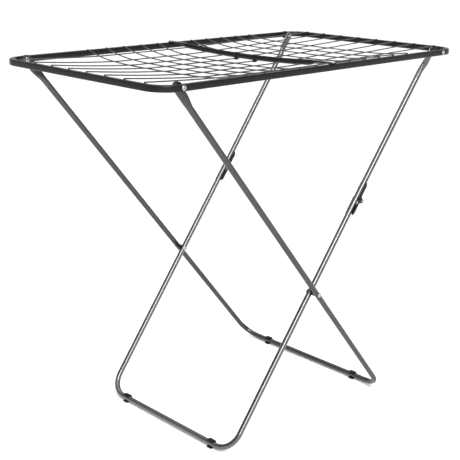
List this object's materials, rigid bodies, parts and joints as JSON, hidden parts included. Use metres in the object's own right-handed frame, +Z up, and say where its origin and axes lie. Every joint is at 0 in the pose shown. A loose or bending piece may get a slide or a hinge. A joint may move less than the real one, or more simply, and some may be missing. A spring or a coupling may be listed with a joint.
{
  "type": "clothes drying rack",
  "caption": "Folding clothes drying rack: a rounded tube frame with a sagging net of wires and a crossbar, on two crossed U-shaped tube legs, one with a knee.",
  "frame": {"origin": "on the floor under the centre of the top", "axes": "+X along the top's length towards the end where the inner leg hangs, +Y across the top towards the back, +Z up"},
  "size_m": [1, 0.5636, 0.9111],
  "materials": {
    "top_paint": "satin",
    "outer_leg_paint": "satin",
    "inner_leg_paint": "satin",
    "wire_paint": "satin",
    "bracket_paint": "satin",
    "rivet_steel": "satin",
    "black_plastic": "matte"
  },
  "bodies": {
    "top_frame": {"top_frame": "top_paint", "middle_crossbar": "top_paint", "crossbar_rivet_front": "rivet_steel", "crossbar_rivet_back": "rivet_steel", "long_wires": "wire_paint", "cross_wires_left": "wire_paint", "cross_wires_right": "wire_paint", "wire_clips": "black_plastic", "hinge_spacer_outer_front": "black_plastic", "hinge_spacer_outer_back": "black_plastic", "hinge_spacer_inner_front": "black_plastic", "hinge_spacer_inner_back": "black_plastic", "hinge_rivet_outer_front": "rivet_steel", "hinge_rivet_outer_back": "rivet_steel", "hinge_rivet_inner_front": "rivet_steel", "hinge_rivet_inner_back": "rivet_steel"},
    "outer_leg": {"outer_leg": "outer_leg_paint", "foot_outer_front": "black_plastic", "foot_outer_back": "black_plastic", "crossing_spacer_front": "black_plastic", "crossing_spacer_back": "black_plastic", "crossing_rivet_outer_front": "rivet_steel", "crossing_rivet_outer_back": "rivet_steel"},
    "inner_leg_upper": {"inner_leg_upper_front": "inner_leg_paint", "inner_leg_upper_back": "inner_leg_paint", "knee_bracket_upper_front": "bracket_paint", "knee_bracket_upper_back": "bracket_paint", "bracket_rivet_upper_front": "bracket_paint", "bracket_rivet_upper_back": "bracket_paint"},
    "inner_leg_lower": {"inner_leg_lower": "inner_leg_paint", "foot_inner_front": "black_plastic", "foot_inner_back": "black_plastic", "crossing_rivet_inner_front": "rivet_steel", "crossing_rivet_inner_back": "rivet_steel", "knee_bracket_lower_front": "bracket_paint", "knee_bracket_lower_back": "bracket_paint", "knee_pin_front": "rivet_steel", "knee_pin_back": "rivet_steel", "bracket_rivet_lower_front": "bracket_paint", "bracket_rivet_lower_back": "bracket_paint"}
  },
  "joints": [
    {"name": "outer_leg_fold", "type": "hinge", "parent": "top_frame", "child": "outer_leg", "pos_m": [-0.443, 0, 0.9], "axis": [0, -1, 0], "range_deg": [0, 45.78]},
    {"name": "inner_leg_fold", "type": "hinge", "parent": "top_frame", "child": "inner_leg_upper", "pos_m": [0.436, 0, 0.9], "axis": [0, 1, 0], "range_deg": [0, 48.82]},
    {"name": "knee_fold", "type": "hinge", "parent": "inner_leg_upper", "child": "inner_leg_lower", "pos_m": [0.18354, 0, 0.54915], "axis": [0, -1, 0], "range_deg": [0, 176]}
  ],
  "couplings": [
    {"joint": "inner_leg_fold", "follows": "outer_leg_fold", "ratio": 1.0665},
    {"joint": "knee_fold", "follows": "outer_leg_fold", "ratio": 3.8448}
  ]
}
